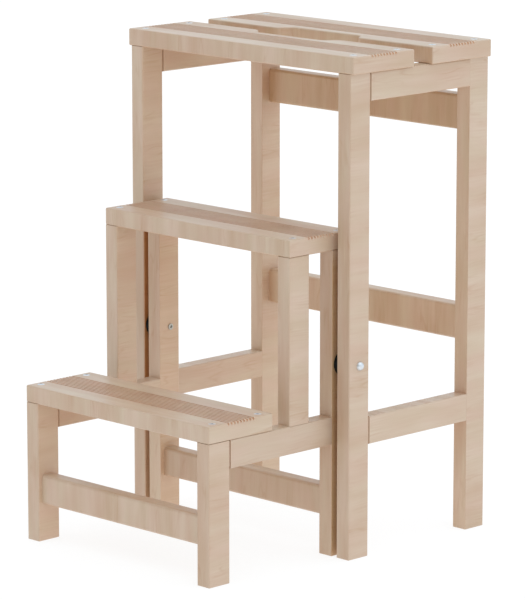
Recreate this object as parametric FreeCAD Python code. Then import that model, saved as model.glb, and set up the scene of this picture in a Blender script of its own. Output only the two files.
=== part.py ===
import FreeCAD, Part
import math
import os

# A folding wooden step stool with three treads, in millimetres.
#
# Two frames of planed timber turn on each other about one line through their front and rear legs.
# The outer frame is a tall stool with two grooved top slats.  The step frame stands in front of it,
# carries the lower and the middle step, and swings up and over the pivot to nest upside down inside
# the outer frame.
#
# +X is the stool's right-hand side, +Y points from the steps to the back, +Z is up.  The origin is on
# the floor, in the middle of the unfolded stool's outline.

# ---------------------------------------------------------------- driving dimensions
TIMBER_THICKNESS = 22.5       # every leg, post and rail, across its thin side
LEG_DEPTH = 36.0              # across Y
SLAT_WIDTH = 114.0
SLAT_THICKNESS = 23.0
SIDE_RAIL_HEIGHT = 37.0
LOW_CROSS_RAIL_HEIGHT = 39.5
REAR_RAIL_HEIGHT = 47.0

OUTER_WIDTH = 410.0
TOTAL_HEIGHT = 661.0
TOP_SLAT_SPACE = 34.0         # open slot between the two top slats
TOP_OVERHANG = 5.0            # top slats past the legs, at each end
FRAME_CLEARANCE = 8.5         # between the two frames, on each side
STEP_REACH = 222.0            # step frame's front face ahead of the outer frame's
LOWER_STEP_TOP = 210.0
MIDDLE_STEP_TOP = 430.0

LOW_CROSS_RAIL_BOTTOM = 50.5
REAR_UPPER_RAIL_BOTTOM = 539.0
FOLDED_REST_CLEARANCE = 0.4   # screw heads of the folded lower step above the rear middle rail

EDGE_RADIUS = 2.0             # eased edges of the timber
CROSS_RAIL_EDGE_RADIUS = 4.0
JOINT_EDGE_RADIUS = 0.6       # leg edges along a flush rail
FOOT_CHAMFER = 0.8
SHADOW_GAP = 2.6              # line between each front leg and its side rails
SHADOW_GAP_DEPTH = 1.7

# Anti-slip grooves along each tread
GROOVE_COUNT = 9
GROOVE_PITCH = 5.5
GROOVE_WIDTH = 3.0
GROOVE_DEPTH = 3.6

# Hand grip: one scallop in each of the facing edges of the top slats
GRIP_LENGTH = 166.0
GRIP_DEPTH = 19.0
GRIP_ARC_RADIUS = 15.0

# Wooden dowels in every rail joint
DOWEL_RADIUS = 4.0
DOWEL_LENGTH = 32.0
DOWEL_IN_LEG = 14.0
DOWEL_CHAMFER = 1.0
DOWEL_SPACING = 18.0
REAR_RAIL_DOWEL_SPACING = 26.0

# Screws that hold the treads down
SCREW_INSET = 16.5            # from the tread's long edge
SCREW_LENGTH = 48.0
SCREW_SHANK_RADIUS = 2.5
SCREW_HEAD_RADIUS = 5.0
SCREW_HEAD_RISE = 0.6
SCREW_TIP_LENGTH = 6.0
SCREW_RECESS_FLATS = 3.5
SCREW_RECESS_DEPTH = 1.2

# Pivot hardware
PIVOT_HEIGHT = 256.8
PIVOT_INSET = 19.5            # behind the front face of the outer front leg
BOLT_RADIUS = 2.5
BOLT_HEAD_RADIUS = 6.0
BOLT_HEAD_HEIGHT = 5.4
SLEEVE_RADIUS = 3.5
SLEEVE_FLANGE_RADIUS = 4.2
SLEEVE_FLANGE_THICKNESS = 1.0
SLEEVE_SOCKET_FLATS = 3.5
SLEEVE_SOCKET_DEPTH = 1.5
SLEEVE_END_INSET = 1.0        # sleeve's end inside the step frame's outer face
BOLT_THREAD_IN_SLEEVE = 14.0
RUNNING_CLEARANCE = 0.05      # radial, sleeve in the step frame's legs
FACE_CLEARANCE = 0.3          # sideways, step frame to spacer and to flange
SPACER_RADIUS = 17.0
SPACER_EDGE_RADIUS = 1.0

CUTTER_OVERRUN = 1.0          # how far a cutter stands past the faces it opens

# ---------------------------------------------------------------- worked-out places
OUTER_HALF = OUTER_WIDTH / 2
OUTER_LEG_INNER = OUTER_HALF - TIMBER_THICKNESS
STEP_HALF = OUTER_LEG_INNER - FRAME_CLEARANCE
STEP_LEG_INNER = STEP_HALF - TIMBER_THICKNESS
OUTER_LEG_CENTRE = OUTER_HALF - TIMBER_THICKNESS / 2
STEP_LEG_CENTRE = STEP_HALF - TIMBER_THICKNESS / 2
TOP_HALF = OUTER_HALF + TOP_OVERHANG

OUTER_DEPTH = 2 * SLAT_WIDTH + TOP_SLAT_SPACE
TOTAL_DEPTH = OUTER_DEPTH + STEP_REACH
STEP_FRONT = -TOTAL_DEPTH / 2
OUTER_FRONT = STEP_FRONT + STEP_REACH
OUTER_REAR = OUTER_FRONT + OUTER_DEPTH
OUTER_REAR_LEG_FRONT = OUTER_REAR - LEG_DEPTH
PIVOT_Y = OUTER_FRONT + PIVOT_INSET
MIDDLE_POST_FRONT = OUTER_FRONT + LEG_DEPTH - SLAT_WIDTH

LEG_TOP = TOTAL_HEIGHT - SLAT_THICKNESS
LOWER_STEP_BOTTOM = LOWER_STEP_TOP - SLAT_THICKNESS
MIDDLE_STEP_BOTTOM = MIDDLE_STEP_TOP - SLAT_THICKNESS
LOW_SIDE_RAIL_BOTTOM = LOWER_STEP_BOTTOM - SIDE_RAIL_HEIGHT
FOLDED_LOWER_STEP_FACE = 2 * PIVOT_HEIGHT - LOWER_STEP_TOP
REAR_MIDDLE_RAIL_TOP = FOLDED_LOWER_STEP_FACE - SCREW_HEAD_RISE - FOLDED_REST_CLEARANCE
REAR_RAIL_FRONT = OUTER_REAR - TIMBER_THICKNESS
STEP_CROSS_RAIL_INSET = (LEG_DEPTH - TIMBER_THICKNESS) / 2

SIDES = {"left": -1, "right": 1}
X_AXIS = FreeCAD.Vector(1, 0, 0)
Y_AXIS = FreeCAD.Vector(0, 1, 0)
Z_AXIS = FreeCAD.Vector(0, 0, 1)


# ---------------------------------------------------------------- timber
def block(low, high):
    """A plain box between two corners, given in any order."""
    corner = FreeCAD.Vector(*[min(a, b) for a, b in zip(low, high)])
    size = [abs(a - b) for a, b in zip(low, high)]
    return Part.makeBox(*size, corner)


def edges_along(shape, axis):
    """The straight edges of a shape that run along one axis."""
    return [edge for edge in shape.Edges if abs(edge.tangentAt(edge.FirstParameter).dot(axis)) > 0.999]


def eased_bar(low, high, axis, radius=EDGE_RADIUS):
    """A bar with its four long edges rounded."""
    bar = block(low, high)
    return bar.makeFillet(radius, edges_along(bar, axis))


def side_rail(outer_x, inner_x, front_joint, rear_joint, bottom):
    """A side rail between two legs, set back round its front end so that a dark line shows there."""
    top = bottom + SIDE_RAIL_HEIGHT
    bar = eased_bar((inner_x, front_joint + SHADOW_GAP, bottom), (outer_x, rear_joint, top), Y_AXIS)
    inward = math.copysign(SHADOW_GAP_DEPTH, inner_x - outer_x)
    tongue = block((outer_x + inward, front_joint, bottom + SHADOW_GAP_DEPTH),
                   (inner_x - inward, front_joint + SHADOW_GAP, top - SHADOW_GAP_DEPTH))
    return bar.fuse(tongue).removeSplitter()


def leg(side, half_width, front, bottom, top, joint_face):
    """An upright flush with the frame's outer side face.

    joint_face is the Y of the face that takes a side rail, whose edges stay nearly sharp, or None.
    An upright that stands on the floor has its foot chamfered.
    """
    low = (side * (half_width - TIMBER_THICKNESS), front, bottom)
    high = (side * half_width, front + LEG_DEPTH, top)
    upright = block(low, high)
    long_edges = edges_along(upright, Z_AXIS)
    at_joint = [edge for edge in long_edges if edge.CenterOfMass.y == joint_face]
    free = [edge for edge in long_edges if edge.CenterOfMass.y != joint_face]
    upright = upright.makeFillet(EDGE_RADIUS, free)
    if at_joint:
        spots = [edge.CenterOfMass for edge in at_joint]
        sharp = [edge for edge in upright.Edges if any(edge.CenterOfMass.isEqual(s, 1e-6) for s in spots)]
        upright = upright.makeFillet(JOINT_EDGE_RADIUS, sharp)
    if bottom == 0:
        foot = block(low, high)
        floor_edges = [edge for edge in foot.Edges if edge.CenterOfMass.z == 0]
        upright = upright.common(foot.makeChamfer(FOOT_CHAMFER, floor_edges))
    return upright


def grip_outline(half_length, front, rear, grip):
    """A top slat's plan: a rectangle with a scallop in its rear (grip 1) or front (grip -1) edge."""
    reach = math.sqrt(4 * GRIP_ARC_RADIUS * GRIP_DEPTH - GRIP_DEPTH ** 2)
    turn = math.asin(reach / (2 * GRIP_ARC_RADIUS))
    edge, back = (rear, front) if grip > 0 else (front, rear)
    start = GRIP_LENGTH / 2
    side_run = GRIP_ARC_RADIUS * math.sin(turn / 2)
    drop = GRIP_ARC_RADIUS * (1 - math.cos(turn / 2))

    def point(x, depth):
        return FreeCAD.Vector(x, edge - grip * depth, 0)

    def half(sign):
        outer_end = point(sign * start, 0)
        outer_mid = point(sign * (start - side_run), drop)
        turning = point(sign * (start - reach / 2), GRIP_DEPTH / 2)
        inner_mid = point(sign * (start - reach + side_run), GRIP_DEPTH - drop)
        inner_end = point(sign * (start - reach), GRIP_DEPTH)
        return [Part.Arc(outer_end, outer_mid, turning).toShape(),
                Part.Arc(turning, inner_mid, inner_end).toShape()]

    corners = [FreeCAD.Vector(-half_length, edge, 0), FreeCAD.Vector(-half_length, back, 0),
               FreeCAD.Vector(half_length, back, 0), FreeCAD.Vector(half_length, edge, 0)]
    straights = [Part.makeLine(a, b) for a, b in zip(corners, corners[1:])]
    straights.append(Part.makeLine(corners[0], point(-start, 0)))
    straights.append(Part.makeLine(corners[3], point(start, 0)))
    straights.append(Part.makeLine(point(reach - start, GRIP_DEPTH), point(start - reach, GRIP_DEPTH)))
    return Part.Wire(Part.__sortEdges__(straights + half(-1) + half(1)))


def grooves(half_length, middle_y, top):
    """Round-bottomed cutters that run past both ends of a tread."""
    half = GROOVE_WIDTH / 2
    shoulder = top - GROOVE_DEPTH + half
    over = top + CUTTER_OVERRUN
    cutters = []
    for number in range(GROOVE_COUNT):
        y = middle_y + (number - (GROOVE_COUNT - 1) / 2) * GROOVE_PITCH

        def at(dy, z):
            return FreeCAD.Vector(-half_length - CUTTER_OVERRUN, y + dy, z)

        profile = Part.Wire([
            Part.makeLine(at(-half, shoulder), at(-half, over)),
            Part.makeLine(at(-half, over), at(half, over)),
            Part.makeLine(at(half, over), at(half, shoulder)),
            Part.Arc(at(half, shoulder), at(0, top - GROOVE_DEPTH), at(-half, shoulder)).toShape(),
        ])
        cutters.append(Part.Face(profile).extrude(X_AXIS * 2 * (half_length + CUTTER_OVERRUN)))
    return Part.Compound(cutters)


def tread(half_length, front, top, grip=0):
    """A grooved slat, eased all round, with a scallop for the hand if grip is 1 or -1."""
    rear = front + SLAT_WIDTH
    bottom = top - SLAT_THICKNESS
    if grip:
        outline = grip_outline(half_length, front, rear, grip)
        slat = Part.Face(outline).extrude(Z_AXIS * SLAT_THICKNESS)
        slat.translate(Z_AXIS * bottom)
    else:
        slat = block((-half_length, front, bottom), (half_length, rear, top))
    outside = [edge for edge in slat.Edges if abs(abs(edge.CenterOfMass.x) - half_length) < 1e-6
               or abs(edge.tangentAt(edge.FirstParameter).z) < 0.5]
    slat = slat.makeFillet(EDGE_RADIUS, outside)
    return slat.cut(grooves(half_length, (front + rear) / 2, top))


# ---------------------------------------------------------------- fasteners
def dowel(start, axis):
    """A chamfered dowel from its end point, along an axis."""
    pin = Part.makeCylinder(DOWEL_RADIUS, DOWEL_LENGTH, start, axis)
    rims = [edge for edge in pin.Edges if isinstance(edge.Curve, Part.Circle)]
    return pin.makeChamfer(DOWEL_CHAMFER, rims)


def dowel_pair(start, axis, across, spacing=DOWEL_SPACING):
    """Two parallel dowels, spaced evenly about the start point."""
    return [dowel(start + across * (half * spacing / 2), axis) for half in (-1, 1)]


def side_rail_dowels(x, front_joint, rear_joint, middle_z):
    """The dowels at both ends of a side rail: joints are the Y of the leg faces it meets."""
    front = FreeCAD.Vector(x, front_joint - DOWEL_IN_LEG, middle_z)
    rear = FreeCAD.Vector(x, rear_joint + DOWEL_IN_LEG - DOWEL_LENGTH, middle_z)
    return dowel_pair(front, Y_AXIS, Z_AXIS) + dowel_pair(rear, Y_AXIS, Z_AXIS)


def cross_rail_dowels(leg_inner, y, middle_z, spacing=DOWEL_SPACING):
    """The dowels at both ends of a cross rail, into the inner faces of two legs."""
    pins = []
    for side in SIDES.values():
        start = FreeCAD.Vector(side * (leg_inner + DOWEL_IN_LEG), y, middle_z)
        pins += dowel_pair(start, X_AXIS * -side, Z_AXIS, spacing)
    return pins


def hexagon_prism(flats, depth, base):
    """An upright prism for a hexagon drive recess, from the middle of its bottom."""
    radius = flats / math.sqrt(3)
    corners = [FreeCAD.Vector(radius * math.cos(math.radians(60 * k)),
                              radius * math.sin(math.radians(60 * k)), 0) for k in range(7)]
    prism = Part.Face(Part.makePolygon(corners)).extrude(Z_AXIS * depth)
    prism.translate(base)
    return prism


def dome_profile(radius, rise):
    """The edge of a low spherical cap, from its rim at (radius, 0) to its crown at (0, rise)."""
    sphere = (radius ** 2 + rise ** 2) / (2 * rise)
    half_angle = math.asin(radius / sphere) / 2
    middle = FreeCAD.Vector(sphere * math.sin(half_angle), 0, rise - sphere * (1 - math.cos(half_angle)))
    return Part.Arc(FreeCAD.Vector(radius, 0, 0), middle, FreeCAD.Vector(0, 0, rise)).toShape()


def turned(edges):
    """A solid of revolution about Z from a closed profile in the XZ plane."""
    return Part.Face(Part.Wire(edges)).revolve(FreeCAD.Vector(0, 0, 0), Z_AXIS, 360)


def screw_body(x, y, top):
    """A countersunk wood screw with a slightly domed head, pointing down, without its recess."""
    shank_top = SCREW_SHANK_RADIUS - SCREW_HEAD_RADIUS
    spots = [(0, -SCREW_LENGTH), (SCREW_SHANK_RADIUS, SCREW_TIP_LENGTH - SCREW_LENGTH),
             (SCREW_SHANK_RADIUS, shank_top), (SCREW_HEAD_RADIUS, 0)]
    points = [FreeCAD.Vector(r, 0, z) for r, z in spots]
    edges = [Part.makeLine(a, b) for a, b in zip(points, points[1:])]
    edges.append(dome_profile(SCREW_HEAD_RADIUS, SCREW_HEAD_RISE))
    edges.append(Part.makeLine(FreeCAD.Vector(0, 0, SCREW_HEAD_RISE), points[0]))
    body = turned(edges)
    body.translate(FreeCAD.Vector(x, y, top))
    return body


def screw(body):
    """The finished screw: its body with a hexagon recess in the head."""
    box = body.BoundBox
    base = FreeCAD.Vector(box.Center.x, box.Center.y, box.ZMax - SCREW_RECESS_DEPTH)
    return body.cut(hexagon_prism(SCREW_RECESS_FLATS, SCREW_RECESS_DEPTH + CUTTER_OVERRUN, base))


def tread_screws(leg_centre, front, top):
    """The four screw bodies of one tread."""
    rows = (front + SCREW_INSET, front + SLAT_WIDTH - SCREW_INSET)
    return [screw_body(side * leg_centre, y, top) for side in SIDES.values() for y in rows]


# ---------------------------------------------------------------- pivot hardware
def on_pivot(shape, side):
    """Stand a part made along Z onto the pivot line, with its Z pointing outwards on that side."""
    turn = FreeCAD.Rotation(Z_AXIS, X_AXIS * side)
    shape.Placement = FreeCAD.Placement(FreeCAD.Vector(0, PIVOT_Y, PIVOT_HEIGHT), turn)
    return shape


def upright_cylinder(radius, low, high):
    """A cylinder about Z between two heights."""
    return Part.makeCylinder(radius, high - low, FreeCAD.Vector(0, 0, low))


FLANGE_FACE = STEP_LEG_INNER - FACE_CLEARANCE
SLEEVE_END = STEP_HALF - SLEEVE_END_INSET
BOLT_END = SLEEVE_END - BOLT_THREAD_IN_SLEEVE
SPACER_FACE = STEP_HALF + FACE_CLEARANCE


def pivot_bolt(side):
    """A dome-headed bolt through the outer leg and the spacer, into the sleeve nut."""
    dome = turned([
        dome_profile(BOLT_HEAD_RADIUS, BOLT_HEAD_HEIGHT),
        Part.makeLine(FreeCAD.Vector(0, 0, BOLT_HEAD_HEIGHT), FreeCAD.Vector(0, 0, 0)),
        Part.makeLine(FreeCAD.Vector(0, 0, 0), FreeCAD.Vector(BOLT_HEAD_RADIUS, 0, 0)),
    ])
    dome.translate(Z_AXIS * OUTER_HALF)
    shank = upright_cylinder(BOLT_RADIUS, BOLT_END, OUTER_HALF)
    return on_pivot(dome.fuse(shank).removeSplitter(), side)


def sleeve_nut(side):
    """A flanged sleeve nut that the step frame's leg turns on, with a hexagon socket in its flange."""
    sleeve = upright_cylinder(SLEEVE_RADIUS, FLANGE_FACE, SLEEVE_END)
    flange = upright_cylinder(SLEEVE_FLANGE_RADIUS, FLANGE_FACE - SLEEVE_FLANGE_THICKNESS, FLANGE_FACE)
    nut = sleeve.fuse(flange).removeSplitter()
    nut = nut.cut(upright_cylinder(BOLT_RADIUS, BOLT_END, SLEEVE_END))
    socket_base = FreeCAD.Vector(0, 0, FLANGE_FACE - SLEEVE_FLANGE_THICKNESS - CUTTER_OVERRUN)
    socket = hexagon_prism(SLEEVE_SOCKET_FLATS, SLEEVE_SOCKET_DEPTH + CUTTER_OVERRUN, socket_base)
    return on_pivot(nut.cut(socket), side)


def spacer_disc(side):
    """The disc between the two frames, with rounded rims."""
    disc = upright_cylinder(SPACER_RADIUS, SPACER_FACE, OUTER_LEG_INNER)
    rims = [edge for edge in disc.Edges if isinstance(edge.Curve, Part.Circle)]
    disc = disc.makeFillet(SPACER_EDGE_RADIUS, rims)
    return on_pivot(disc.cut(upright_cylinder(BOLT_RADIUS, SPACER_FACE, OUTER_LEG_INNER)), side)


def pivot_hole(radius, side):
    """A cutter along the pivot line, past both faces of one side's legs."""
    inner_end = STEP_LEG_INNER - CUTTER_OVERRUN
    return on_pivot(upright_cylinder(radius, inner_end, OUTER_HALF + CUTTER_OVERRUN), side)


# ---------------------------------------------------------------- the two frames
def drilled(members, cutters):
    """Cut every fastener out of every timber that it reaches."""
    finished = {}
    for name, shape in members.items():
        for cutter in cutters:
            if shape.BoundBox.intersect(cutter.BoundBox):
                shape = shape.cut(cutter)
        finished[name] = shape
    return finished


def outer_frame():
    """The tall stool: timbers by name, then its dowels and screw bodies."""
    timbers = {}
    dowels = []
    apron_bottom = LEG_TOP - SIDE_RAIL_HEIGHT
    rail_bottoms = {"upper_side_rail": apron_bottom, "lower_side_rail": LOW_SIDE_RAIL_BOTTOM}
    front_joint = OUTER_FRONT + LEG_DEPTH
    for name, side in SIDES.items():
        timbers["outer_front_leg_" + name] = leg(side, OUTER_HALF, OUTER_FRONT, 0, LEG_TOP, front_joint)
        timbers["outer_rear_leg_" + name] = leg(side, OUTER_HALF, OUTER_REAR_LEG_FRONT, 0, LEG_TOP,
                                                OUTER_REAR_LEG_FRONT)
        for rail, bottom in rail_bottoms.items():
            timbers["outer_" + rail + "_" + name] = side_rail(side * OUTER_HALF, side * OUTER_LEG_INNER,
                                                              front_joint, OUTER_REAR_LEG_FRONT, bottom)
            dowels += side_rail_dowels(side * OUTER_LEG_CENTRE, front_joint, OUTER_REAR_LEG_FRONT,
                                       bottom + SIDE_RAIL_HEIGHT / 2)
    rear_bottoms = {"rear_upper_rail": REAR_UPPER_RAIL_BOTTOM,
                    "rear_middle_rail": REAR_MIDDLE_RAIL_TOP - REAR_RAIL_HEIGHT}
    for rail, bottom in rear_bottoms.items():
        low = (-OUTER_LEG_INNER, REAR_RAIL_FRONT, bottom)
        high = (OUTER_LEG_INNER, OUTER_REAR, bottom + REAR_RAIL_HEIGHT)
        timbers[rail] = eased_bar(low, high, X_AXIS, CROSS_RAIL_EDGE_RADIUS)
        dowels += cross_rail_dowels(OUTER_LEG_INNER, (REAR_RAIL_FRONT + OUTER_REAR) / 2,
                                    bottom + REAR_RAIL_HEIGHT / 2, REAR_RAIL_DOWEL_SPACING)
    screws = []
    rear_slat_front = OUTER_FRONT + SLAT_WIDTH + TOP_SLAT_SPACE
    for name, front, grip in (("front", OUTER_FRONT, 1), ("rear", rear_slat_front, -1)):
        timbers["top_slat_" + name] = tread(TOP_HALF, front, TOTAL_HEIGHT, grip)
        screws += tread_screws(OUTER_LEG_CENTRE, front, TOTAL_HEIGHT)
    return timbers, dowels, screws


def step_frame():
    """The low frame with its two steps: timbers by name, then its dowels and screw bodies."""
    timbers = {}
    dowels = []
    front_joint = STEP_FRONT + LEG_DEPTH
    for name, side in SIDES.items():
        x = side * STEP_LEG_CENTRE
        timbers["step_front_leg_" + name] = leg(side, STEP_HALF, STEP_FRONT, 0, LOWER_STEP_BOTTOM,
                                                front_joint)
        timbers["step_middle_post_" + name] = leg(side, STEP_HALF, MIDDLE_POST_FRONT, LOWER_STEP_BOTTOM,
                                                  MIDDLE_STEP_BOTTOM, None)
        timbers["step_rear_leg_" + name] = leg(side, STEP_HALF, OUTER_FRONT, 0, MIDDLE_STEP_BOTTOM,
                                               OUTER_FRONT)
        timbers["step_side_rail_" + name] = side_rail(side * STEP_HALF, side * STEP_LEG_INNER,
                                                      front_joint, OUTER_FRONT, LOW_SIDE_RAIL_BOTTOM)
        dowels += side_rail_dowels(x, front_joint, OUTER_FRONT, LOW_SIDE_RAIL_BOTTOM + SIDE_RAIL_HEIGHT / 2)
        post_foot = FreeCAD.Vector(x, MIDDLE_POST_FRONT + LEG_DEPTH / 2,
                                   LOWER_STEP_BOTTOM - DOWEL_LENGTH / 2)
        dowels += dowel_pair(post_foot, Z_AXIS, Y_AXIS)
    for name, front in (("front", STEP_FRONT), ("rear", OUTER_FRONT)):
        rail_front = front + STEP_CROSS_RAIL_INSET
        rail_rear = rail_front + TIMBER_THICKNESS
        rail_top = LOW_CROSS_RAIL_BOTTOM + LOW_CROSS_RAIL_HEIGHT
        low = (-STEP_LEG_INNER, rail_front, LOW_CROSS_RAIL_BOTTOM)
        high = (STEP_LEG_INNER, rail_rear, rail_top)
        timbers["step_" + name + "_cross_rail"] = eased_bar(low, high, X_AXIS, CROSS_RAIL_EDGE_RADIUS)
        dowels += cross_rail_dowels(STEP_LEG_INNER, (rail_front + rail_rear) / 2,
                                    (LOW_CROSS_RAIL_BOTTOM + rail_top) / 2)
    screws = []
    for name, front, top in (("lower", STEP_FRONT, LOWER_STEP_TOP),
                             ("middle", MIDDLE_POST_FRONT, MIDDLE_STEP_TOP)):
        timbers[name + "_step_slat"] = tread(STEP_HALF, front, top)
        screws += tread_screws(STEP_LEG_CENTRE, front, top)
    return timbers, dowels, screws


def build_nodes():
    """Every sub-part by its node name."""
    nodes = {}
    frames = {
        "outer": (outer_frame(), BOLT_RADIUS),
        "step": (step_frame(), SLEEVE_RADIUS + RUNNING_CLEARANCE),
    }
    for name, ((timbers, dowels, screws), bore) in frames.items():
        bores = [pivot_hole(bore, side) for side in SIDES.values()]
        nodes.update(drilled(timbers, dowels + screws + bores))
        nodes[name + "_frame_dowels"] = Part.Compound(dowels)
        nodes[name + "_tread_screws"] = Part.Compound([screw(body) for body in screws])
    for name, side in SIDES.items():
        nodes["pivot_bolt_" + name] = pivot_bolt(side)
        nodes["pivot_sleeve_nut_" + name] = sleeve_nut(side)
        nodes["pivot_spacer_" + name] = spacer_disc(side)
    return nodes


os.makedirs("parts", exist_ok=True)
for node, shape in build_nodes().items():
    shape.exportStep(os.path.join("parts", node + ".step"))
    print(node, len(shape.Solids), "solid(s)", round(shape.Volume / 1000, 2), "cm3", shape.isValid())
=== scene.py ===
import math
from collections import namedtuple

import bpy
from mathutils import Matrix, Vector


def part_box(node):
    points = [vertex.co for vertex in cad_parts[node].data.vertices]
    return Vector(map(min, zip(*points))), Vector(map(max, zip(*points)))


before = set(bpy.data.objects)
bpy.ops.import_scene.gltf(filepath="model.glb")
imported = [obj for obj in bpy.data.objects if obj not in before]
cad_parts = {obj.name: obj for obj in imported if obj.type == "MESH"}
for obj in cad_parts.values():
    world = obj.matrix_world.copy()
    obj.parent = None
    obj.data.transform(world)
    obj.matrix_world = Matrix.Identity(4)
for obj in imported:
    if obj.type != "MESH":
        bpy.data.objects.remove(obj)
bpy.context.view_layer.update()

# A folding birch step stool on a pale studio floor.  Lengths are in metres unless a name ends in _MM.

MM_PER_METRE = 1000.0
WHITE = (1.0, 1.0, 1.0)

# ---------------------------------------------------------------- view and light
CAMERA_TARGET = Vector((0.0183, 0.0075, 0.3165))
CAMERA_AZIMUTH = 45.24        # degrees, from the front towards the stool's right-hand side
CAMERA_ELEVATION = 11.27      # degrees above the floor
CAMERA_DISTANCE = 5.0
CAMERA_LENS_MM = 226.2
CAMERA_SENSOR_MM = 36.0
CAMERA_REACH = 200.0

FLOOR_HALF = 40.0
FLOOR_COLOUR = (0.20, 0.20, 0.20)
FLOOR_ROUGHNESS = 0.9
FLOOR_GLOW = 0.84             # a floor lit from beneath, so that shadows on it stay faint

# The light from the middle of each of the studio's four walls and its ceiling.
STUDIO_SIDES = (
    ((1, 0, 0), (0.87, 0.94, 1.02)),
    ((-1, 0, 0), (0.50, 0.46, 0.43)),
    ((0, 1, 0), (0.86, 0.94, 1.01)),
    ((0, -1, 0), (0.33, 0.31, 0.28)),
    ((0, 0, 1), (1.36, 1.48, 1.56)),
)

# ---------------------------------------------------------------- colours of the wood
# Linear colours of the lightest and the darkest wood, before light falls on it.
BIRCH_LIGHT = (0.666, 0.524, 0.400)
BIRCH_DARK = (0.534, 0.346, 0.220)
BEECH_LIGHT = (0.560, 0.400, 0.270)
BEECH_DARK = (0.400, 0.260, 0.160)
# Tints multiply those colours.
PINKISH = (1.015, 0.988, 1.005)        # the two tints that a board drifts between
YELLOWISH = (0.985, 1.012, 0.985)
# Painted warm bounce light and shade: faces turned inwards are painted warmer, as light bounced between the
# boards would make them.
INWARD_PAINTED_WARMTH = (1.035, 0.985, 0.925)  # faces turned inwards are warmer than the outer ones
INWARD_MM = 100.0                      # how far from the middle an inward face has its full warmth
# Boards that differ from the rest by more than the usual drift: partly their own tone, partly painted shade
# and warm bounce light on the boards deep inside the stool, such as the rear rails.
BOARD_TONES_AND_SHADE = {
    "rear_upper_rail": (0.92, 0.85, 0.71),
    "rear_middle_rail": (1.02, 1.01, 0.97),
    "step_rear_cross_rail": (0.92, 0.88, 0.82),
    "step_rear_leg_left": (1.03, 1.00, 0.95),
    "step_rear_leg_right": (0.94, 0.91, 0.87),
    "step_side_rail_right": (0.97, 0.97, 0.97),
}
BOARD_DRIFT = 0.05            # how far a board's own lightness is from the middle, at the most
GOLDEN_ANGLE = 2.4            # radians from one board's drift to the next, which keeps them from repeating

# Painted shade and painted light: the wood is painted dark in the narrow gap between the two frames, where
# shade falls, and painted pale in the grooves, which lifts the shade that falls in them.
OUTER_GAP_PAINTED_SHADE = (0.84, 0.53, 0.28)
OUTER_FOOT_PAINTED_SHADE = (0.94, 0.84, 0.76)
STEP_GAP_PAINTED_SHADE = (1.00, 0.92, 0.70)
GAP_MARGIN_MM = 0.3
GAP_FADE_MM = 22.0
# Painted light in the grooves of the treads.
GROOVE_PAINTED_LIGHT = (1.22, 1.12, 1.08)
GROOVE_BAND_MM = 60.0
GROOVES_START_MM = 0.3        # below the top of a tread
GROOVES_END_MM = 4.0
GROOVE_FADE_MM = 0.1
# The painted light in the grooves stops this far short of a tread's end, so its end faces don't get it.
TREAD_END_MM = 0.6            # the end faces of a tread aren't stained

# ---------------------------------------------------------------- figure of the wood
# Sizes across the grain, along it, and into the wood.
WARP_MM = (90.0, 70.0, 120.0)
BAND_MM = (22.0, 150.0, 30.0)
STREAK_MM = (2.3, 60.0, 4.0)
FIBRE_MM = (0.9, 22.0, 1.2)
LINE_MM = (16.0, 110.0, 20.0)
PATCH_MM = (30.0, 45.0, 40.0)
TONE_MM = (110.0, 150.0, 120.0)
HUE_MM = (24.0, 90.0, 40.0)
WARP_REACH_MM = 4.0           # how far the figure wanders across the grain
BOARD_STEP_MM = (37.0, 113.0, 71.0)   # how far apart two boards in turn take their figure

# How much each layer adds to the lightness, which goes from the dark colour at 0 to the light one at 1.
BAND_WEIGHT = 1.45
FIBRE_WEIGHT = 0.12
TONE_WEIGHT = 0.60
LINE_WEIGHT = -0.30
STREAK_WEIGHTS = (0.12, 0.65) # outside the patches of streaks, and in them
SIDE_FACE_STRENGTH = 0.62     # the bands and fibres are fainter on faces across X
LINE_WIDTH = 0.030            # how near its contour a line begins, in units of its noise
STREAK_PATCH = (0.40, 0.62)   # the noise at the edge of a patch of streaks, and well inside it
LINE_PATCH = (0.50, 0.62)
HUE_RANGE = (0.3, 0.7)        # the noise where a board is fully pinkish, and fully yellowish

WOOD_ROUGHNESS = (0.52, 0.38) # where the figure is dark, and where it is light
WOOD_RELIEF = 0.00004
WOOD_IOR = 1.5
LACQUER_WEIGHT = 0.7
LACQUER_ROUGHNESS = 0.35

# ---------------------------------------------------------------- metal and plastic
# A word in a node's name: its finish, the colours where it is bright and where it is clouded,
# its roughness, and where its pattern begins.
METALS = {
    "screws": ("zinc_plated_steel", (0.86, 0.89, 0.93), (0.70, 0.73, 0.77), 0.34, 3.0),
    "sleeve": ("dull_zinc_plate", (0.62, 0.61, 0.56), (0.48, 0.47, 0.42), 0.50, 5.0),
    "bolt": ("polished_nickel", (0.80, 0.83, 0.86), (0.66, 0.69, 0.72), 0.36, 8.0),
}
CLOUD_MM = (2.2, 2.2, 2.2)
BRUSH_MM = (0.12, 2.0, 0.12)
CLOUDED_ROUGHNESS = 0.10      # added to a metal's own roughness where it is clouded, and where it is bright
BRIGHT_ROUGHNESS = -0.06
METAL_RELIEF = 0.00001

NYLON_DARK = (0.003, 0.005, 0.005)
NYLON_LIGHT = (0.006, 0.009, 0.010)
NYLON_GRAIN_MM = (0.35, 0.35, 0.35)
NYLON_CLOUD_MM = (6.0, 6.0, 6.0)
NYLON_ROUGHNESS = (0.36, 0.52)
NYLON_SPECULAR = 0.12
NYLON_RELIEF = 0.00002

# ---------------------------------------------------------------- shared by the patterns
NOISE_MIDDLE = 0.5
NOISE_PAIR = (0.7, 1.3)       # most of what two noises come to when they are added

# A box of painted shade or painted light: its ranges across x, y and z, the colour that multiplies the wood
# in it, and how far it fades at its top and bottom.
PaintedShading = namedtuple("PaintedShading", "x y z colour fade")


def put(tree, socket, value):
    """Give a socket a value, or link another node's output to it."""
    if isinstance(value, bpy.types.NodeSocket):
        tree.links.new(value, socket)
    else:
        socket.default_value = value


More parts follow.
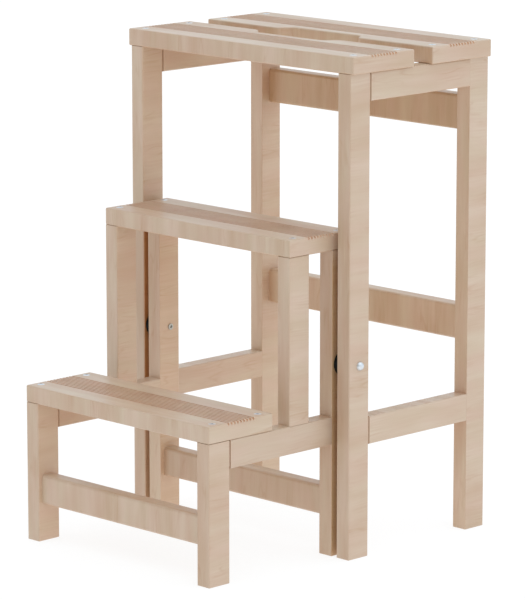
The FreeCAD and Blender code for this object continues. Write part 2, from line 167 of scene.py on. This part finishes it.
class Nodes:
    """A node tree, with short calls for the nodes that the patterns need."""

    def __init__(self, tree):
        self.tree = tree

    def add(self, kind, values=(), **settings):
        """A new node with its settings, its inputs filled in order."""
        node = self.tree.nodes.new(kind)
        for name, value in settings.items():
            setattr(node, name, value)
        for socket, value in zip(node.inputs, values):
            put(self.tree, socket, value)
        return node

    def math(self, operation, *values):
        return self.add("ShaderNodeMath", values, operation=operation).outputs[0]

    def vector(self, operation, *values):
        return self.add("ShaderNodeVectorMath", values, operation=operation).outputs[0]

    def dot(self, first, second):
        return self.add("ShaderNodeVectorMath", (first, second), operation="DOT_PRODUCT").outputs["Value"]

    def combine(self, x, y, z):
        return self.add("ShaderNodeCombineXYZ", (x, y, z)).outputs[0]

    def separate(self, vector):
        return self.add("ShaderNodeSeparateXYZ", (vector,)).outputs

    def blend(self, factor, first, second):
        """The first vector or colour where the factor is 0, the second where it is 1."""
        node = self.add("ShaderNodeMix", data_type="VECTOR")
        put(self.tree, node.inputs["Factor"], factor)
        vectors = [socket for socket in node.inputs if socket.type == "VECTOR"]
        put(self.tree, vectors[-2], first)
        put(self.tree, vectors[-1], second)
        return next(socket for socket in node.outputs if socket.type == "VECTOR")

    def ramp(self, value, low, high, to_low=0.0, to_high=1.0):
        """Map the range from low to high onto another, and hold it at both ends."""
        return self.add("ShaderNodeMapRange", (value, low, high, to_low, to_high)).outputs[0]

    def noise(self, place, size, detail=1.0):
        """Smooth noise from 0 to 1 whose features have the given sizes."""
        node = self.add("ShaderNodeTexNoise")
        put(self.tree, node.inputs["Vector"], self.vector("DIVIDE", place, size))
        node.inputs["Scale"].default_value = 1.0
        node.inputs["Detail"].default_value = detail
        return node.outputs[0]

    def centred(self, noise):
        return self.math("SUBTRACT", noise, NOISE_MIDDLE)

    def layer(self, total, noise, weight):
        """The total with a layer of noise added, centred on 0 and multiplied by its weight."""
        return self.math("MULTIPLY_ADD", self.centred(noise), weight, total)

    def pair(self, first, second, to_low=0.0, to_high=1.0):
        """Two noises added together and stretched over a range."""
        return self.ramp(self.math("ADD", first, second), *NOISE_PAIR, to_low, to_high)

    def place_mm(self):
        """The point being shaded, in the stool's own frame, and the direction that it faces."""
        source = self.add("ShaderNodeTexCoord")
        place = self.add("ShaderNodeVectorMath", (source.outputs["Object"],), operation="SCALE")
        place.inputs["Scale"].default_value = MM_PER_METRE
        return place.outputs[0], source.outputs["Normal"]


class Shader(Nodes):
    """One material's node tree and its surface."""

    def __init__(self, name):
        self.material = bpy.data.materials.new(name)
        self.material.use_nodes = True
        super().__init__(self.material.node_tree)
        self.surface = self.tree.nodes["Principled BSDF"]

    def set(self, **values):
        """Set the surface's own sockets, which are named here with underscores for spaces."""
        for name, value in values.items():
            self.surface.inputs[name.replace("_", " ")].default_value = value

    def finish(self, colour, roughness, height, depth):
        """Link a pattern to the surface: colour, roughness and a bump this deep."""
        bump = self.add("ShaderNodeBump")
        bump.inputs["Distance"].default_value = depth
        put(self.tree, bump.inputs["Height"], height)
        put(self.tree, self.surface.inputs["Base Color"], colour)
        put(self.tree, self.surface.inputs["Roughness"], roughness)
        put(self.tree, self.surface.inputs["Normal"], bump.outputs[0])
        return self.material


# ---------------------------------------------------------------- wood
def grain_place(shader, place, normal, seed):
    """(across, along, into) the grain in millimetres, and 1 on side faces but 0 on the others.

    The figure runs along Y on faces across X, along Z on faces across Y, and along X on level faces.
    """
    x, y, z = shader.separate(place)
    face_x, face_y, face_z = shader.separate(shader.vector("ABSOLUTE", normal))
    side_face = shader.math("GREATER_THAN", face_x, shader.math("MAXIMUM", face_y, face_z))
    level = shader.math("GREATER_THAN", face_z, shader.math("MAXIMUM", face_x, face_y))
    upright = shader.blend(side_face, shader.combine(x, z, y), shader.combine(z, y, x))
    grain = shader.blend(level, upright, shader.combine(y, x, z))
    moved = shader.vector("ADD", grain, [seed * step for step in BOARD_STEP_MM])
    return moved, side_face


def figure_of(shader, grain, side_face, tint):
    """How light the wood is, from 0 to 1, and its bands, streaks and fibres as plain noise."""
    wander = shader.centred(shader.noise(grain, WARP_MM))
    shift = shader.combine(shader.math("MULTIPLY", wander, 2 * WARP_REACH_MM), 0.0, 0.0)
    warped = shader.vector("ADD", grain, shift)
    bands = shader.noise(warped, BAND_MM, detail=2.0)
    streaks = shader.noise(warped, STREAK_MM)
    fibres = shader.noise(warped, FIBRE_MM)
    patch = shader.noise(grain, PATCH_MM)

    # A line follows a contour of its noise, where the noise is at its middle.
    off_line = shader.math("ABSOLUTE", shader.centred(shader.noise(warped, LINE_MM)))
    line = shader.math("MULTIPLY", shader.ramp(off_line, LINE_WIDTH, 0.0), shader.ramp(patch, *LINE_PATCH))

    broad = shader.math("MULTIPLY", shader.centred(bands), BAND_WEIGHT)
    broad = shader.layer(broad, fibres, FIBRE_WEIGHT)
    strength = shader.ramp(side_face, 0.0, 1.0, 1.0, SIDE_FACE_STRENGTH)
    lightness = shader.math("MULTIPLY_ADD", broad, strength, NOISE_MIDDLE + tint)
    lightness = shader.layer(lightness, streaks, shader.ramp(patch, *STREAK_PATCH, *STREAK_WEIGHTS))
    lightness = shader.layer(lightness, shader.noise(grain, TONE_MM), TONE_WEIGHT)
    lightness = shader.math("MULTIPLY_ADD", line, LINE_WEIGHT, lightness)
    return shader.ramp(lightness, 0.0, 1.0), bands, streaks, fibres


def painted_warmth(shader, colour, place, normal):
    """The colour with painted warm bounce light and shade: warmer on faces that are turned towards the
    middle of the stool.
    """
    inward = shader.ramp(shader.dot(normal, place), 0.0, -INWARD_MM)
    return shader.vector("MULTIPLY", colour, shader.blend(inward, WHITE, INWARD_PAINTED_WARMTH))


def painted_shading(shader, colour, place, painted):
    """The colour, multiplied by painted shade or painted light in a box and in its mirror image on the
    stool's other side.
    """
    x, y, z = shader.separate(place)
    bottom, top = painted.z
    above = shader.ramp(z, bottom, bottom + painted.fade)
    below = shader.ramp(z, top, top - painted.fade)
    inside = shader.math("MULTIPLY", above, below)
    for value, (start, end) in ((shader.math("ABSOLUTE", x), painted.x), (y, painted.y)):
        within = shader.math("COMPARE", value, (start + end) / 2, (end - start) / 2)
        inside = shader.math("MULTIPLY", inside, within)
    return shader.vector("MULTIPLY", colour, shader.blend(inside, WHITE, painted.colour))


def wood(name, seed, light, dark, tint=0.0, board=WHITE, painted_shadings=()):
    """Planed wood with soft bands, fibres and fine dark lines, under a thin matt lacquer.

    tint moves the whole piece towards the light colour, or the dark one if it is negative;
    board is a colour that multiplies the whole piece, partly its own tone and partly painted shade and warm
    bounce light, and painted_shadings say where shade and light are painted on it.
    """
    shader = Shader(name)
    place, normal = shader.place_mm()
    grain, side_face = grain_place(shader, place, normal, seed)
    lightness, bands, streaks, fibres = figure_of(shader, grain, side_face, tint)

    hue = shader.ramp(shader.noise(grain, HUE_MM), *HUE_RANGE)
    tinted = shader.vector("MULTIPLY", shader.blend(hue, PINKISH, YELLOWISH), board)
    colour = shader.vector("MULTIPLY", shader.blend(lightness, dark, light), tinted)
    # Painted warm bounce light and shade on faces turned inwards, then the boxes of painted shade and
    # painted light.
    colour = painted_warmth(shader, colour, place, normal)
    for painted in painted_shadings:
        colour = painted_shading(shader, colour, place, painted)

    roughness = shader.pair(fibres, bands, *WOOD_ROUGHNESS)
    height = shader.math("MULTIPLY", shader.math("ADD", fibres, streaks), 0.5)
    shader.set(IOR=WOOD_IOR, Coat_Weight=LACQUER_WEIGHT, Coat_Roughness=LACQUER_ROUGHNESS)
    return shader.finish(colour, roughness, height, WOOD_RELIEF)


# ---------------------------------------------------------------- metal and plastic
def metal(name, bright, clouded, roughness, start):
    """Plated steel: cloudy plating with fine brush marks along Y."""
    shader = Shader(name)
    place = shader.vector("ADD", shader.place_mm()[0], (start, start, start))
    cloud = shader.noise(place, CLOUD_MM, detail=3.0)
    brushed = shader.noise(place, BRUSH_MM, detail=2.0)
    brightness = shader.pair(cloud, brushed)
    colour = shader.blend(brightness, clouded, bright)
    rough = shader.ramp(brightness, 0.0, 1.0, roughness + CLOUDED_ROUGHNESS, roughness + BRIGHT_ROUGHNESS)
    shader.set(Metallic=1.0)
    return shader.finish(colour, rough, brushed, METAL_RELIEF)


def nylon(name):
    """Black moulded nylon with a fine satin texture."""
    shader = Shader(name)
    place, _ = shader.place_mm()
    grain = shader.noise(place, NYLON_GRAIN_MM, detail=2.0)
    cloud = shader.noise(place, NYLON_CLOUD_MM, detail=2.0)
    colour = shader.blend(cloud, NYLON_DARK, NYLON_LIGHT)
    shader.set(Specular_IOR_Level=NYLON_SPECULAR)
    return shader.finish(colour, shader.pair(grain, cloud, *NYLON_ROUGHNESS), grain, NYLON_RELIEF)


# ---------------------------------------------------------------- dressing the CAD nodes
def box_mm(node):
    low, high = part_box(node)
    return Vector(low) * MM_PER_METRE, Vector(high) * MM_PER_METRE


def groove_painted_light(low, high):
    """The painted light in the grooved band along the top of a tread, whose box this is: it lifts the shade
    in the grooves.
    """
    middle = (low.y + high.y) / 2
    return PaintedShading(x=(0.0, high.x - TREAD_END_MM),
                 y=(middle - GROOVE_BAND_MM / 2, middle + GROOVE_BAND_MM / 2),
                 z=(high.z - GROOVES_END_MM, high.z - GROOVES_START_MM),
                 colour=GROOVE_PAINTED_LIGHT, fade=GROOVE_FADE_MM)


def painted_shading_of(node):
    """The parts of a timber with painted shade in the gap between the frames, and with painted light in the
    grooves, in millimetres.  They fade at their tops and bottoms.
    """
    low, high = box_mm(node)
    if "slat" in node:
        return [groove_painted_light(low, high)]
    step_leg_top = box_mm("step_rear_leg_right")[1]
    outer_leg_bottom = box_mm("outer_front_leg_right")[0]
    gap = (step_leg_top.x - GAP_MARGIN_MM, outer_leg_bottom.x + GAP_MARGIN_MM)
    depth = (low.y, high.y)
    # The painted shade of the gap begins to fade in below the leg, and so it has its full strength at the
    # leg's end.
    start = low.z - GAP_FADE_MM
    # Painted shade on the step leg's face in the gap.
    if "step_rear_leg" in node:
        return [PaintedShading(gap, depth, (start, high.z), STEP_GAP_PAINTED_SHADE, GAP_FADE_MM)]
    if "outer_front_leg" in node:
        # Above its foot the leg has the step frame beside it in both positions, open and folded.
        pivot = sum(box_mm("pivot_bolt_right"), Vector()) / 2
        foot = 2 * pivot.z - step_leg_top.z
        # Painted shade: mild below the foot, which is open when the stool is folded, and dark above it.
        return [PaintedShading(gap, depth, (start, foot + GAP_FADE_MM), OUTER_FOOT_PAINTED_SHADE, GAP_FADE_MM),
                PaintedShading(gap, depth, (foot, step_leg_top.z), OUTER_GAP_PAINTED_SHADE, GAP_FADE_MM)]
    return []


def timber(node, seed):
    """The material of a wooden node: each board gets its own figure and a slight tint of its own."""
    name = "wood_" + node
    if "dowels" in node:
        return wood(name, seed, BEECH_LIGHT, BEECH_DARK)
    tint = BOARD_DRIFT * math.sin(seed * GOLDEN_ANGLE)
    # Some boards also get painted shade and warm bounce light as well as their own tone, and the gap and
    # groove faces get painted shade and painted light.
    return wood(name, seed, BIRCH_LIGHT, BIRCH_DARK, tint, BOARD_TONES_AND_SHADE.get(node, WHITE), painted_shading_of(node))


def dress_all():
    """Give every CAD node its material."""
    finishes = {word: metal(*finish) for word, finish in METALS.items()}
    finishes["spacer"] = nylon("black_nylon")
    for seed, node in enumerate(sorted(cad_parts)):
        word = next((word for word in finishes if word in node), None)
        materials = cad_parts[node].data.materials
        materials.clear()
        materials.append(finishes[word] if word else timber(node, seed))


# ---------------------------------------------------------------- studio
def make_floor():
    mesh = bpy.data.meshes.new("floor")
    corners = [(-FLOOR_HALF, -FLOOR_HALF, 0), (FLOOR_HALF, -FLOOR_HALF, 0),
               (FLOOR_HALF, FLOOR_HALF, 0), (-FLOOR_HALF, FLOOR_HALF, 0)]
    mesh.from_pydata(corners, [], [(0, 1, 2, 3)])
    floor = bpy.data.objects.new("floor", mesh)
    bpy.context.scene.collection.objects.link(floor)
    shader = Shader("studio_floor")
    shader.set(Base_Color=(*FLOOR_COLOUR, 1), Roughness=FLOOR_ROUGHNESS, Specular_IOR_Level=0.0,
               Emission_Color=(*WHITE, 1), Emission_Strength=FLOOR_GLOW)
    mesh.materials.append(shader.material)


def make_light():
    """A soft white studio, brighter from some sides than others, and plain white where it is seen."""
    world = bpy.data.worlds.new("studio")
    world.use_nodes = True
    bpy.context.scene.world = world
    nodes = Nodes(world.node_tree)
    direction = nodes.add("ShaderNodeTexCoord").outputs["Generated"]
    total = nodes.combine(0.0, 0.0, 0.0)
    for axis, colour in STUDIO_SIDES:
        facing = nodes.math("MAXIMUM", nodes.dot(direction, axis), 0.0)
        total = nodes.vector("MULTIPLY_ADD", nodes.math("MULTIPLY", facing, facing), colour, total)
    seen = nodes.add("ShaderNodeLightPath").outputs["Is Camera Ray"]
    background = nodes.tree.nodes["Background"]
    background.inputs["Strength"].default_value = 1.0
    put(nodes.tree, background.inputs["Color"], nodes.vector("MAXIMUM", total, seen))


def make_camera():
    azimuth = math.radians(CAMERA_AZIMUTH)
    elevation = math.radians(CAMERA_ELEVATION)
    away = Vector((math.sin(azimuth) * math.cos(elevation), -math.cos(azimuth) * math.cos(elevation),
                   math.sin(elevation)))
    data = bpy.data.cameras.new("camera")
    data.lens = CAMERA_LENS_MM
    data.sensor_width = CAMERA_SENSOR_MM
    data.clip_end = CAMERA_REACH
    camera = bpy.data.objects.new("camera", data)
    camera.location = CAMERA_TARGET + away * CAMERA_DISTANCE
    camera.rotation_euler = away.to_track_quat("Z", "Y").to_euler()
    bpy.context.scene.collection.objects.link(camera)
    bpy.context.scene.camera = camera


make_camera()
make_floor()
make_light()
dress_all()
bpy.context.scene.view_settings.view_transform = "Standard"
